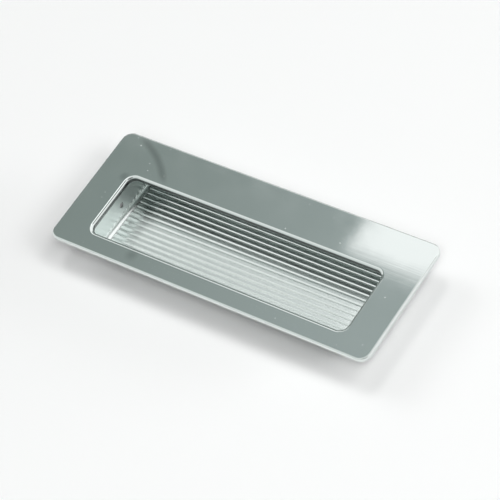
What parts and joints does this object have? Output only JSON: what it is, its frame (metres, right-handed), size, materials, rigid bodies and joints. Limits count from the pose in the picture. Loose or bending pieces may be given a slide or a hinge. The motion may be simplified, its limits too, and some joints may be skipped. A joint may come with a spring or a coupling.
{
  "type": "flush pull",
  "caption": "Rectangular flush pull: polished face plate with rounded corners and an offset opening over a satin ribbed finger tray that runs on under the wide border.",
  "frame": {"origin": "under the middle of the face plate, at the lowest point of the finger tray", "axes": "+X along the plate, +Y across it towards the wide border that the fingers hook under, +Z out of the door"},
  "size_m": [0.12, 0.045, 0.0123],
  "materials": {
    "polished_chrome": "mirror polished",
    "satin_steel": "satin, fine grain"
  },
  "bodies": {
    "root": {"face_plate": "polished_chrome", "finger_tray": "satin_steel"}
  },
  "joints": []
}
